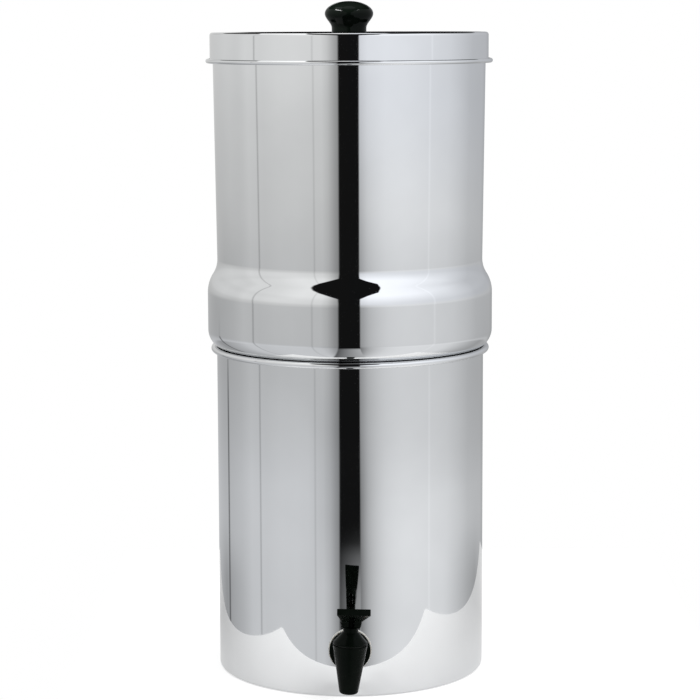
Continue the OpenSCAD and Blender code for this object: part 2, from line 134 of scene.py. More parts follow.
def frame_matrix(origin, x_axis, z_axis):
    """Axes x, y, z at an origin, with y square to the other two."""
    x_axis, z_axis = x_axis.normalized(), z_axis.normalized()
    axes = Matrix((x_axis, z_axis.cross(x_axis), z_axis)).transposed().to_4x4()
    return Matrix.Translation(origin) @ axes


# The tap's frame: z up the spout's axis, y along the shank into the chamber
TAP = frame_matrix(TAP_AT, Vector((0, 1, 0)).cross(TAP_UP), TAP_UP)
# The lever's frame: x forward, y up, z back along its pin
LEVER = frame_matrix(PIN_AT, PIN_ALONG.cross(TAP_UP), -PIN_ALONG)
# Turns a shape drawn up Z to run along the shank, towards the tap's +Y
ALONG = Matrix.Rotation(-math.pi / 2, 4, "X")


# -------- profiles

def line(*points):
    """Straight stretches from point to point. Two more points lie close to the ends of a long
    one, so that the curve next to it doesn't bend its shading."""
    points, guard, stretches = np.array(points, float), 0.3, []
    for start, end in zip(points, points[1:]):
        length = np.linalg.norm(end - start)
        share = guard / length if length > 4 * guard else 0
        stretches.append(start + np.outer([0, share, 1 - share, 1], end - start))
    return np.vstack(stretches)


def arc(centre, radius, start, end, step=7.5):
    """Points on a circle about a centre, from one angle in degrees to another."""
    count = max(2, math.ceil(abs(end - start) / step) + 1)
    angle = np.radians(np.linspace(start, end, count))
    return np.stack([centre[0] + radius * np.cos(angle), centre[1] + radius * np.sin(angle)], 1)


def upright(radius, low, high, count):
    """Points up a straight wall, as many as a thread cut into it needs."""
    return np.stack([np.full(count, radius), np.linspace(low, high, count)], 1)


def path(*stretches):
    """Stretches joined end to end, without repeated points."""
    points = np.vstack([np.atleast_2d(np.array(s, float)) for s in stretches])
    keep = np.append(True, np.linalg.norm(np.diff(points, axis=0), axis=1) > 1e-3)
    return points[keep]


def around(radius, height, steps=SMALL):
    """A grid round Z: x = radius cos u, y = radius sin u, z = height. The radius may differ
    from one step to the next."""
    u = np.linspace(0, TURN, steps, endpoint=False)[:, None]
    return np.dstack(np.broadcast_arrays(radius * np.cos(u), radius * np.sin(u), height))


def turned(profile, steps=SMALL):
    """A profile of points (radius, height) carried round Z."""
    return around(profile[:, 0], profile[:, 1], steps)


def threaded(grid, shank_r, low, high, pitch, depth):
    """The grid with a thread in its rows of radius shank_r: the radius falls by depth times a
    rounded tooth of the phase height / pitch - turn, which fades in and out over one pitch."""
    turn = np.linspace(0, 1, len(grid), endpoint=False)[:, None]
    height = grid[:, :, 2]
    tooth = 0.5 - 0.5 * np.cos(TURN * (height / pitch - turn))
    fade = np.clip((height - low) / pitch, 0, 1) * np.clip((high - height) / pitch, 0, 1)
    radius = np.maximum(np.linalg.norm(grid[:, :, :2], axis=2), 1e-6)
    on_shank = np.abs(radius - shank_r) < 0.1
    scale = 1 - depth * tooth * fade * on_shank / radius
    return np.dstack([grid[:, :, :2] * scale[:, :, None], grid[:, :, 2:]])


def capped(grid):
    """The grid with each of its two ends drawn to a point in the end's middle."""
    first, last = (np.tile(grid[:, i].mean(0), (len(grid), 1, 1)) for i in (0, -1))
    return np.hstack([first, grid, last])


# -------- meshes

def grid_mesh(grid, ring=False, unit=MM):
    """A mesh from a grid of points, closed round its first index, and round its second where
    ring is set."""
    count, rows = grid.shape[:2]
    index = np.arange(count * rows).reshape(count, rows)
    if ring:
        index = np.hstack([index, index[:, :1]])
    beyond = np.roll(index, -1, 0)
    quads = np.stack([index[:, :-1], beyond[:, :-1], beyond[:, 1:], index[:, 1:]], 2)
    mesh = bpy.data.meshes.new("grid")
    mesh.from_pydata((grid.reshape(-1, 3) * unit).tolist(), [], quads.reshape(-1, 4).tolist())
    return mesh


def tidy(mesh, angle=CRISP):
    """Merges doubles, drops empty faces, turns the normals outwards and shades smooth up to
    an angle."""
    work = bmesh.new()
    work.from_mesh(mesh)
    bmesh.ops.remove_doubles(work, verts=work.verts, dist=2e-6)
    bmesh.ops.dissolve_degenerate(work, edges=work.edges, dist=1e-6)
    bmesh.ops.recalc_face_normals(work, faces=work.faces)
    work.to_mesh(mesh)
    work.free()
    mesh.shade_smooth()
    mesh.set_sharp_from_angle(angle=math.radians(angle))
    return mesh


def closed_mesh(grid, ring=False, angle=CRISP):
    """A closed surface from a grid: its poles merge to points and its normals face out."""
    return tidy(grid_mesh(grid, ring), angle)


def add_object(data):
    """An object in the scene for a mesh, a lamp or a camera."""
    thing = bpy.data.objects.new(data.name, data)
    bpy.context.scene.collection.objects.link(thing)
    return thing


def moved(mesh, matrix):
    """The mesh carried from millimetres of its own frame to its place in the row frame."""
    place = matrix.copy()
    place.translation *= MM
    mesh.transform(place)
    return mesh


def combined(mesh, others, operation="DIFFERENCE", angle=CRISP):
    """The exact boolean of a mesh with others, one after another, as a new closed mesh."""
    thing, *helpers = [add_object(each) for each in (mesh, *others)]
    for helper in helpers:
        step = thing.modifiers.new("boolean", "BOOLEAN")
        step.solver = "EXACT"
        step.operation = operation
        step.object = helper
    graph = bpy.context.evaluated_depsgraph_get()
    result = bpy.data.meshes.new_from_object(thing.evaluated_get(graph))
    for each in [thing, *helpers]:
        bpy.data.meshes.remove(each.data)   # its object goes with it
    return tidy(result, angle)


def piece(name, mesh, body, slot, node):
    """A finished piece: it wears its slot's finish, rides on a body and stands for a node."""
    mesh.name = name
    mesh.materials.clear()
    mesh.materials.append(FINISHES[slot])
    thing = add_object(mesh)
    thing.name = name
    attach(thing, body)
    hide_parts(node)
    return thing


def rod(radius, low, high, steps=SMALL):
    """A plain round bar along Z, for cutting."""
    return closed_mesh(turned(path((0, low), (radius, low), (radius, high), (0, high)), steps))


def block(low, high):
    """A block between two corners, for cutting."""
    low, high = np.array([low, high])
    flags = np.indices((2, 2, 2)).reshape(3, 8).T
    mesh = bpy.data.meshes.new("block")
    sides = [(0, 1, 3, 2), (4, 6, 7, 5), (0, 4, 5, 1), (2, 3, 7, 6), (0, 2, 6, 4), (1, 5, 7, 3)]
    mesh.from_pydata(((low + flags * (high - low)) * MM).tolist(), [], sides)
    return tidy(mesh)


# -------- materials

# Real grain, pores and hairlines are mostly too fine to show. They are drawn as coarse as
# they need to show, 0.4 to 1.5 mm across.

# Sockets of a Mix node that mixes two colours
SHARE, FIRST, SECOND, MIXED = 0, 6, 7, 2
# How red, green and blue light spreads in silicone and white plastic, in units of 2 mm
SPREAD = {"Subsurface Radius": (1.0, 0.9, 0.8), "Subsurface Scale": 2 * MM}


def srgb(code):
    """Linear colour of an sRGB hex code such as D8D8DA."""
    value = np.array([int(code[i:i + 2], 16) for i in (0, 2, 4)]) / 255
    linear = np.where(value <= 0.04045, value / 12.92, ((value + 0.055) / 1.055) ** 2.4)
    return (*linear.tolist(), 1.0)


def add(tree, kind, inputs, **settings):
    """Adds a shader node and gives its outputs. settings are its properties; inputs maps a
    socket to its value, or to the output that feeds it."""
    node = tree.nodes.new("ShaderNode" + kind)
    for name, value in settings.items():
        setattr(node, name, value)
    for socket, value in inputs.items():
        if isinstance(value, bpy.types.NodeSocket):
            tree.links.new(value, node.inputs[socket])
        else:
            node.inputs[socket].default_value = value
    return node.outputs


def new_material(name, surface_of, **choices):
    """A node material. surface_of takes its tree, the Object coordinates in it and the
    choices, and gives the shader."""
    material = bpy.data.materials.new(name)
    material.use_nodes = True
    tree = material.node_tree
    tree.nodes.clear()
    place = add(tree, "TexCoord", {})["Object"]
    add(tree, "OutputMaterial", {"Surface": surface_of(tree, place, **choices)})
    return material


def uneven(tree, cloud, colours, grain, roughness):
    """Colour that follows a cloud and roughness that follows a grain. Each goes from its
    first value to its second where the noise goes from 0.3 to 0.7, which is most of it."""
    share, rough = (
        add(tree, "MapRange", {"Value": noise, "From Min": 0.3, "From Max": 0.7,
                               "To Min": low, "To Max": high})["Result"]
        for noise, (low, high) in ((cloud, (0, 1)), (grain, roughness)))
    first, second = (srgb(code) for code in colours)
    colour = add(tree, "Mix", {SHARE: share, FIRST: first, SECOND: second}, data_type="RGBA")
    return {"Base Color": colour[MIXED], "Roughness": rough}


def polished_steel(tree, place):
    """Stainless steel 18/8, deep drawn and buffed to a mirror. The sheet keeps a faint wave
    from drawing, and the buffing leaves hairlines round the axis and a thin uneven haze."""
    haze = add(tree, "TexNoise", {"Vector": place, "Scale": 1 / (45 * MM), "Detail": 3.0})[0]
    round_axis = add(tree, "Mapping", {"Vector": place, "Scale": (0.04, 0.04, 1)})[0]
    hairs = add(tree, "TexNoise", {"Vector": round_axis, "Scale": 1 / (1.2 * MM),
                                   "Roughness": 0.6})[0]
    upwards = add(tree, "Mapping", {"Vector": place, "Scale": (1, 1, 0.6)})[0]
    swell = add(tree, "TexNoise", {"Vector": upwards, "Scale": 1 / (70 * MM), "Detail": 1.0,
                                   "Roughness": 0.4})[0]
    wave = add(tree, "Bump", {"Height": swell, "Distance": 0.10 * MM})[0]
    buffed = add(tree, "Bump", {"Height": hairs, "Distance": 0.0004 * MM, "Normal": wave})[0]
    skin = uneven(tree, haze, ("DADBDC", "DEDFE0"), haze, (0.018, 0.045))
    return add(tree, "BsdfPrincipled", {**skin, "Metallic": 1.0, "Normal": buffed})[0]


def black_moulding(tree, place, colours, roughness, gloss, grain_mm, grain_depth):
    """Black injection-moulded plastic, filled with carbon black: a deep black with a weak
    gloss from the mould and a fine uneven skin."""
    cloud = add(tree, "TexNoise", {"Vector": place, "Scale": 1 / (6 * MM), "Detail": 3.0})[0]
    sink = add(tree, "TexNoise", {"Vector": place, "Scale": 1 / (9 * MM)})[0]
    grain = add(tree, "TexNoise", {"Vector": place, "Scale": 1 / (grain_mm * MM)})[0]
    sunk = add(tree, "Bump", {"Height": sink, "Distance": 0.02 * MM})[0]
    fine = add(tree, "Bump", {"Height": grain, "Distance": grain_depth * MM, "Normal": sunk})[0]
    skin = uneven(tree, cloud, colours, cloud, roughness)
    return add(tree, "BsdfPrincipled", {**skin, "IOR": 1.49, "Specular IOR Level": gloss,
                                        "Normal": fine})[0]


def silicone(tree, place, colours, milky):
    """Silicone, pressed: a soft gloss. The clear kind is milky, because light spreads inside
    it; the kind filled with carbon black isn't."""
    cloud = add(tree, "TexNoise", {"Vector": place, "Scale": 1 / (4 * MM)})[0]
    grain = add(tree, "TexNoise", {"Vector": place, "Scale": 1 / (0.6 * MM)})[0]
    fine = add(tree, "Bump", {"Height": grain, "Distance": 0.01 * MM})[0]
    skin = uneven(tree, cloud, colours, cloud, (0.35, 0.5))
    return add(tree, "BsdfPrincipled", {**skin, **SPREAD, "IOR": 1.41,
                                        "Subsurface Weight": milky, "Normal": fine})[0]


def nitrile(tree, place):
    """Black nitrile rubber, moulded: dull, with a fine dusty skin."""
    dust = add(tree, "TexNoise", {"Vector": place, "Scale": 1 / (1.5 * MM), "Detail": 3.0})[0]
    grain = add(tree, "TexNoise", {"Vector": place, "Scale": 1 / (0.4 * MM)})[0]
    fine = add(tree, "Bump", {"Height": grain, "Distance": 0.01 * MM})[0]
    skin = uneven(tree, dust, ("1B1B1B", "2B2B2A"), dust, (0.55, 0.8))
    return add(tree, "BsdfPrincipled", {**skin, "Normal": fine})[0]


def drawn_steel(tree, place):
    """Stainless wire and bar, drawn: bright, with fine marks and a soft gloss."""
    upwards = add(tree, "Mapping", {"Vector": place, "Scale": (1, 1, 0.1)})[0]
    marks = add(tree, "TexNoise", {"Vector": upwards, "Scale": 1 / (0.8 * MM), "Detail": 3.0,
                                   "Roughness": 0.6})[0]
    fine = add(tree, "Bump", {"Height": marks, "Distance": 0.004 * MM})[0]
    skin = uneven(tree, marks, ("C9CACC", "B5B6B8"), marks, (0.16, 0.32))
    return add(tree, "BsdfPrincipled", {**skin, "Metallic": 1.0, "Normal": fine})[0]


def ceramic(tree, place):
    """Porous diatomite ceramic, fired unglazed: chalky cream with pores and faint clouds."""
    cloud = add(tree, "TexNoise", {"Vector": place, "Scale": 1 / (14 * MM), "Detail": 4.0})[0]
    grain = add(tree, "TexNoise", {"Vector": place, "Scale": 1 / (0.9 * MM), "Detail": 3.0,
                                   "Roughness": 0.65})[0]
    pores = add(tree, "Bump", {"Height": grain, "Distance": 0.08 * MM})[0]
    skin = uneven(tree, cloud, ("F0EBDD", "E4DCC8"), grain, (0.8, 0.95))
    return add(tree, "BsdfPrincipled", {**skin, "Normal": pores})[0]


def carbon(tree, place):
    """Packed activated carbon: black grains, each with its own dull glint."""
    grains = add(tree, "TexVoronoi", {"Vector": place, "Scale": 1 / (1.2 * MM)})["Distance"]
    colour = add(tree, "Mix", {SHARE: grains, FIRST: srgb("141414"), SECOND: srgb("2E2D2C")},
                 data_type="RGBA")
    dull = add(tree, "MapRange", {"Value": grains, "To Min": 0.45, "To Max": 0.8})[0]
    rough = add(tree, "Bump", {"Height": grains, "Distance": 0.5 * MM})[0]
    return add(tree, "BsdfPrincipled", {"Base Color": colour[MIXED], "Roughness": dull,
                                        "Normal": rough})[0]


def white_moulding(tree, place):
    """White polypropylene, moulded: waxy, half matt, a little light inside."""
    cloud = add(tree, "TexNoise", {"Vector": place, "Scale": 1 / (8 * MM), "Detail": 3.0})[0]
    grain = add(tree, "TexNoise", {"Vector": place, "Scale": 1 / (1.0 * MM)})[0]
    fine = add(tree, "Bump", {"Height": grain, "Distance": 0.006 * MM})[0]
    skin = uneven(tree, cloud, ("EDEDE9", "E3E3DE"), cloud, (0.32, 0.48))
    return add(tree, "BsdfPrincipled", {**skin, **SPREAD, "IOR": 1.49,
                                        "Subsurface Weight": 0.15, "Normal": fine})[0]


FINISHES = {
    "polished_steel": new_material("buffed_stainless_steel", polished_steel),
    "knob_plastic": new_material("moulded_phenolic", black_moulding, colours=("080C09", "0A0F0B"),
                                 roughness=(0.048, 0.075), gloss=0.065, grain_mm=1.5,
                                 grain_depth=0.002),
    "tap_plastic": new_material("moulded_black_polypropylene", black_moulding,
                                colours=("070B08", "090E0A"), roughness=(0.208, 0.325),
                                gloss=0.035, grain_mm=0.8, grain_depth=0.004),
    "silicone": new_material("pressed_silicone", silicone, colours=("EAE9E4", "DEDCD6"),
                             milky=0.3),
    "black_rubber": new_material("moulded_nitrile", nitrile),
    "bright_steel": new_material("drawn_stainless_steel", drawn_steel),
    "ceramic": new_material("unglazed_ceramic", ceramic),
    "carbon": new_material("packed_carbon", carbon),
    "white_plastic": new_material("moulded_polypropylene", white_moulding),
}
BLACK_SILICONE = new_material("pressed_black_silicone", silicone, colours=("101310", "161916"),
                              milky=0.0)


# -------- steel shells

def rolled(wall_x, centre, radius, side):
    """Outside of a rolled edge, from where it leaves the wall's outer face round to the
    rounded edge of the wall's inner face: side is 1 at the top of a wall, -1 at its foot."""
    x, z = centre
    lean = math.degrees(math.acos((wall_x - x) / radius))
    inner = wall_x - SHEET + radius
    outside = arc(centre, radius, -side * lean, side * 90, 9)
    return path(outside, line((x, z + side * radius), (inner, z + side * radius)),
                arc((inner, z), radius, side * 90, side * 180, 9))


def lower_chamber():
    """Drum: a base with a panel pressed up, a small bend, a straight wall and a rolled rim,
    then the same back down inside. The tap's hole is drilled through the wall."""
    corner = CHAMBER_R - BASE_BEND
    hole_z, hole_r, hole_guard, dish_guard = TAP_AT.z, 8.2, 12, 10
    rise = SHEET * math.tan(math.radians(22.5))
    dish, dish_in = DISH_R - DISH_H, DISH_R + rise - DISH_H
    outside = path(
        (0, DISH_H), line((dish - dish_guard, DISH_H), (dish, DISH_H)),
        line((DISH_R, 0), (corner, 0)), arc((corner, BASE_BEND), BASE_BEND, -90, 0),
        line((CHAMBER_R, BASE_BEND), (CHAMBER_R, hole_z - hole_guard)),
        line((CHAMBER_R, hole_z + hole_guard), (CHAMBER_R, RIM_Z - RIM_R)),
        rolled(CHAMBER_R, (RIM_X, RIM_Z), RIM_R, 1))
    inner = CHAMBER_R - SHEET
    inside = path(
        line((inner, RIM_Z), (inner, hole_z + hole_guard)),
        line((inner, hole_z - hole_guard), (inner, BASE_BEND)),
        arc((corner, BASE_BEND), BASE_BEND - SHEET, 0, -90), (DISH_R + rise, SHEET),
        line((dish_in, DISH_H + SHEET), (dish_in - dish_guard, DISH_H + SHEET)),
        (0, DISH_H + SHEET))
    drum = closed_mesh(turned(path(outside, inside), ROUND))
    across = Matrix.Translation((0, -CHAMBER_R, hole_z)) @ Matrix.Rotation(math.pi / 2, 4, "X")
    mesh = combined(drum, [moved(rod(hole_r, -6, 6), across)])
    piece("lower_drum", mesh, "base", "polished_steel", "lower_chamber")


CANDLES = (1, 2, 3, 4)


def candle_axis(number):
    """x and y of a candle's axis, from its own ceramic."""
    return sum(corners(f"candle_shell_{number}"))[:2] / 2


def upper_chamber():
    """Drum: a flat floor, a wide bend that sits in the lower rim, a bulge, a shoulder of two
    arcs that touch, a wall that widens upwards and a small rolled rim."""
    swing = math.degrees(math.atan2(SHOULDER_H, SHOULDER_SUM - SHOULDER_STEP))
    bend_x, bend_z = BULGE_R - SEAT_BEND, FLOOR_Z + SEAT_BEND
    hips = (BULGE_R - SHOULDER_R, BULGE_TOP)
    hollow = (WALL_R + HOLLOW_R, WALL_Z)
    lean_out, lean_in = (math.acos((x - CURL_X) / CURL_R)
                         for x in (TOP_R, TOP_R - SHEET))
    foot_out, foot_in = (CURL_Z - CURL_R * math.sin(a) for a in (lean_out, lean_in))
    floor_r, hole_r = 30, 5.4
    outside = path(
        (0, FLOOR_Z), line((floor_r, FLOOR_Z), (bend_x, FLOOR_Z)),
        arc((bend_x, bend_z), SEAT_BEND, -90, 0, 4),
        line((BULGE_R, bend_z), (BULGE_R, BULGE_TOP)),
        arc(hips, SHOULDER_R, 0, swing, 2.5),
        arc(hollow, HOLLOW_R, 180 + swing, 180, 2.5),
        line((WALL_R, WALL_Z), (TOP_R, foot_out)),
        arc((CURL_X, CURL_Z), CURL_R, -math.degrees(lean_out),
            360 - math.degrees(lean_in), 12))
    inside = path(
        line((TOP_R - SHEET, foot_in), (WALL_R - SHEET, WALL_Z)),
        arc(hollow, HOLLOW_R + SHEET, 180, 180 + swing, 5),
        arc(hips, SHOULDER_R - SHEET, swing, 0, 5),
        line((BULGE_R - SHEET, BULGE_TOP), (BULGE_R - SHEET, bend_z)),
        arc((bend_x, bend_z), SEAT_BEND - SHEET, 0, -90, 6),
        line((bend_x, FLOOR_Z + SHEET), (floor_r, FLOOR_Z + SHEET)), (0, FLOOR_Z + SHEET))
    drum = closed_mesh(turned(path(outside, inside), ROUND))
    drills = [moved(rod(hole_r, -4, 4, 48), Matrix.Translation((x, y, FLOOR_Z)))
              for x, y in map(candle_axis, CANDLES)]
    piece("upper_drum", combined(drum, drills), "upper", "polished_steel", "upper_chamber")


def lid():
    """Cap: a flat top with a round edge, a straight skirt and a rolled edge at its foot."""
    corner = LID_R - LID_EDGE
    profile = path(
        line((SCREW_HOLE_R, LID_TOP), (corner, LID_TOP)),
        arc((corner, LID_TOP - LID_EDGE), LID_EDGE, 90, 0, 5),
        line((LID_R, LID_TOP - LID_EDGE), (LID_R, BEAD_Z + BEAD_R)),
        rolled(LID_R, (BEAD_X, BEAD_Z), BEAD_R, -1),
        line((LID_R - SHEET, BEAD_Z), (LID_R - SHEET, LID_TOP - LID_EDGE)),
        arc((corner, LID_TOP - LID_EDGE), LID_EDGE - SHEET, 0, 90),
        line((corner, LID_TOP - SHEET), (SCREW_HOLE_R, LID_TOP - SHEET)))
    mesh = closed_mesh(turned(profile, ROUND), ring=True)
    piece("lid_cap", mesh, "cover", "polished_steel", "lid")


def knob():
    """A neck, a cosine sweep out to the widest point and a quarter ellipse over it, with a
    blind hole for the screw."""
    low, high = corners("lid_knob")
    neck_r, wide_r, neck_h, under_h, edge = 13.9, high[0], 3.2, 11.5, 0.5
    hole_r, hole_depth = 2.52, 13
    dome_h = high[2] - low[2] - neck_h - under_h
    turn = np.linspace(0, math.pi, 30)
    sweep = np.stack([neck_r + (wide_r - neck_r) * (1 - np.cos(turn)) / 2,
                      neck_h + under_h * turn / math.pi], 1)
    rise = turn / 2
    dome = np.stack([wide_r * np.cos(rise), neck_h + under_h + dome_h * np.sin(rise)], 1)
    profile = path((0, hole_depth), (hole_r, hole_depth), line((hole_r, 0), (neck_r - edge, 0)),
                   arc((neck_r - edge, edge), edge, -90, 0, 15), sweep, dome)
    mesh = moved(closed_mesh(turned(profile)), Matrix.Translation((0, 0, low[2])))
    return piece("knob", mesh, "cover", "knob_plastic", "lid_knob")


# -------- tap

SPOUT_DROP, BODY_RISE = 25.0, 13.4
SPOUT_TIP_R, BODY_TOP_R = 7.4, 13.3
SPOUT_BORE_R, VALVE_R, SEAT_Z = 5.0, 8.0, -7.5
SHANK_R, FLOW_R = 7.8, 4.5
FLANGE_R, FLANGE_T, FLANGE_BACK = 16.1, 3.0, 31.5
WALL_Y, NUT_Y, SHANK_END = 33.0, 36.5, 51.5
GASKET_T, BONNET_H, BONNET_EDGE = 0.8, 12.9, 1.2
BONNET_Z = BODY_RISE + GASKET_T
BONNET_TOP = BONNET_Z + BONNET_H
NECK_R, NECK_H, PLUG_LEN = 5.8, 4.0, 7.0
SPINDLE_R, RUN_PLAY, SNUG = 3.0, 0.06, 0.02
CUP_SEALED = SEAT_Z + 4.1   # top of the valve cup's disc when the tap is shut


def tap_body():
    """Spout cone with a round lip, joined to a flange and a threaded shank, then bored: the
    valve chamber and spout from above and below, and the flow passage along the shank."""
    lip, edge, fillet, soft = 2.0, 0.4, 1.2, 0.8
    slope = math.degrees(math.atan2(BODY_TOP_R - SPOUT_TIP_R, BODY_RISE + SPOUT_DROP - lip))
    cone = path(
        (0, -SPOUT_DROP), line((3, -SPOUT_DROP), (SPOUT_TIP_R - lip, -SPOUT_DROP)),
        arc((SPOUT_TIP_R - lip, lip - SPOUT_DROP), lip, -90, -slope, 10),
        line((SPOUT_TIP_R, lip - SPOUT_DROP), (BODY_TOP_R - 0.02, BODY_RISE - edge)),
        arc((BODY_TOP_R - edge, BODY_RISE - edge), edge, 0, 90, 20),
        (0, BODY_RISE))
    front, root, thread_end = FLANGE_BACK - FLANGE_T, 4, SHANK_END - soft
    shank = path(
        (0, root), line((SHANK_R, root), (SHANK_R, front - fillet)),
        arc((SHANK_R + fillet, front - fillet), fillet, 180, 90, 15),
        line((SHANK_R + fillet, front), (FLANGE_R - soft, front)),
        arc((FLANGE_R - soft, front + soft), soft, -90, 0, 15),
        line((FLANGE_R, front + soft), (FLANGE_R, FLANGE_BACK), (SHANK_R, FLANGE_BACK)),
        upright(SHANK_R, FLANGE_BACK, thread_end, 110),
        (SHANK_R - soft, SHANK_END), (0, SHANK_END))
    screw = threaded(turned(shank), SHANK_R, WALL_Y + 1.5, thread_end, pitch=1.8, depth=0.7)
    bar = moved(closed_mesh(screw), ALONG)
    body = combined(closed_mesh(turned(cone)), [bar], "UNION")
    bores = [rod(VALVE_R, SEAT_Z, BODY_RISE + 2), rod(SPOUT_BORE_R, -SPOUT_DROP - 2, 2),
             moved(rod(FLOW_R, 0, SHANK_END + 2), ALONG)]
    mesh = moved(combined(body, bores), TAP)
    piece("tap_body_moulding", mesh, "base", "tap_plastic", "tap_body")


def tap_bonnet():
    """Threaded plug, an edge, a cone and the flat neck that the lever's heel rides on."""
    plug, plug_r, edge = BONNET_Z - PLUG_LEN, VALVE_R - SNUG, 0.3
    bore = SPINDLE_R + RUN_PLAY
    cone_z = BONNET_TOP - NECK_H
    profile = path(
        line((bore, plug), (plug_r, plug), (plug_r, BONNET_Z), (BODY_TOP_R - edge, BONNET_Z)),
        arc((BODY_TOP_R - edge, BONNET_Z + edge), edge, -90, 0, 30),
        arc((BODY_TOP_R - edge, BONNET_Z + BONNET_EDGE - edge), edge, 0, 50, 25),
        line((BODY_TOP_R - 0.6, BONNET_Z + BONNET_EDGE), (NECK_R + 0.3, cone_z - 0.1)),
        line((NECK_R, cone_z + 0.2), (NECK_R, BONNET_TOP - edge)),
        arc((NECK_R - edge, BONNET_TOP - edge), edge, 0, 90, 30),
        line((NECK_R - edge, BONNET_TOP), (bore, BONNET_TOP)))
    mesh = moved(closed_mesh(turned(profile), ring=True), TAP)
    piece("tap_bonnet_moulding", mesh, "base", "tap_plastic", "tap_bonnet")


# -------- lever

HEEL_R, CAM_LIFT, TRAVEL = 6.0, 4.0, 40
HEEL_REACH = HEEL_R + CAM_LIFT * math.radians(TRAVEL)
ARM_LEAN, ARM_LEN, ARM_SINK = math.radians(23), 41.5, 1.0
HUB_W, PADDLE_W, CHANNEL_LEN = 12.4, 25.6, 30.0
ROOT_S, ROOT_T, TIP_T = 10.0, 5.4, 5.0
SLOT_W, PIN_R = 4.4, 1.5


def lever_outline():
    """Top and bottom of the lever along its arm, as points (along, across). The heel is an
    involute: its reach below the pin grows by CAM_LIFT per radian of travel."""
    hub_r = HEEL_R - 0.3
    angle = np.radians(np.linspace(0, TRAVEL + 5, 14))
    reach = HEEL_R + CAM_LIFT * angle
    heel = np.stack([reach * np.sin(angle) + CAM_LIFT * np.cos(angle),
                     CAM_LIFT * np.sin(angle) - reach * np.cos(angle)], 1)
    back = np.array([[-hub_r + 1, -HEEL_R]])
    cos, sin = math.cos(ARM_LEAN), math.sin(ARM_LEAN)
    to_arm = np.array([[cos, -sin], [sin, cos]])
    crown = arc((0, 0), hub_r, 180, 90, 6)
    return [np.vstack([back @ to_arm, curve @ to_arm, [[ROOT_S, side * ROOT_T / 2 - ARM_SINK],
                                                       [ARM_LEN, side * TIP_T / 2 - ARM_SINK]]])
            for curve, side in ((crown, 1), (heel, -1))]


def lever():
    """A loft along the arm: rounded rectangles between the top and bottom outlines, whose
    width grows evenly from behind the pin to the finger end, with soft ends. The slot for the
    spindle's eye, the channel under the arm and the pin's hole are cut through it."""
    top, bottom = lever_outline()
    start, soft, corner = top[:, 0].min(), 0.5, 1.0
    quarter = np.linspace(0, math.pi / 2, 6)
    along = np.hstack([start + soft * (1 - np.cos(quarter))[1:],
                       np.linspace(start + 1.6, ARM_LEN - 1.8, 70),
                       ARM_LEN - soft * (1 - np.sin(quarter))])
    spread = (PADDLE_W - HUB_W) / (ARM_LEN - corner)
    plan = np.array([[start, HUB_W + spread * start], [ARM_LEN - corner, PADDLE_W],
                     [ARM_LEN, PADDLE_W - corner]])
    high, low, wide = (np.interp(along, *edge.T) for edge in (top, bottom, plan))
    to_end = np.minimum(along - start, ARM_LEN - along)
    inset = soft - np.sqrt(np.maximum(soft ** 2 - np.maximum(soft - to_end, 0) ** 2, 0))
    high, low, half = high - inset, low + inset, wide / 2 - inset
    thick = np.maximum((high - low) / 2, 0.05)
    round_r = np.minimum(soft, 0.8 * thick)
    ring = np.radians(np.hstack([np.linspace(q, q + 90, 6) for q in (0, 90, 180, 270)]))
    side = np.repeat([1, -1, -1, 1], 6)[:, None]
    rise = np.repeat([1, 1, -1, -1], 6)[:, None]
    across = side * (half - round_r) + round_r * np.cos(ring)[:, None]
    upward = (high + low) / 2 + rise * (thick - round_r) + round_r * np.sin(ring)[:, None]
    cos, sin = math.cos(ARM_LEAN), math.sin(ARM_LEAN)
    grid = np.dstack([along * cos - upward * sin, along * sin + upward * cos, across])
    arm = closed_mesh(capped(grid), angle=40)
    slot = block((-2 * HEEL_R, -3 * HEEL_R, -SLOT_W / 2),
                 (HEEL_REACH, SPINDLE_R + 1, SLOT_W / 2))
    channel = block((0, -3 * HEEL_R, -SLOT_W / 2), (CHANNEL_LEN, 0, SLOT_W / 2))
    channel = moved(channel, Matrix.Rotation(ARM_LEAN, 4, "Z"))
    pin_hole = rod(PIN_R + SNUG, -HUB_W, HUB_W, 48)
    mesh = moved(combined(arm, [slot, channel, pin_hole], angle=40), LEVER)
    piece("lever_moulding", mesh, "handle", "tap_plastic", "tap_lever")


# -------- candles

shell_low, shell_high = corners("candle_shell_1")
cup_low, cup_high = corners("candle_cup_1")
CANDLE_R = (shell_high[0] - shell_low[0]) / 2
CORE_R = CANDLE_R - 9.0
CERAMIC_Z, CERAMIC_TOP = shell_low[2], shell_high[2]
CUP_R = (cup_high[0] - cup_low[0]) / 2
CUP_Z, CUP_TOP, STEM_END = CERAMIC_Z - 3.0, cup_high[2], cup_low[2]
STEM_R, STEM_BORE_R = 5.0, 2.5


def ceramic_tube():
    """A thick tube under a round dome, hollow for its core, with a soft edge at its foot."""
    spring, edge = CERAMIC_TOP - CANDLE_R, 0.8
    profile = path(
        arc((0, spring), CANDLE_R, 90, 0, 5),
        line((CANDLE_R, spring), (CANDLE_R, CERAMIC_Z + edge)),
        arc((CANDLE_R - edge, CERAMIC_Z + edge), edge, 0, -90, 30),
        line((CANDLE_R - edge, CERAMIC_Z), (CORE_R, CERAMIC_Z), (CORE_R, spring)),
        arc((0, spring), CORE_R, 0, 90, 9))
    return closed_mesh(turned(profile))


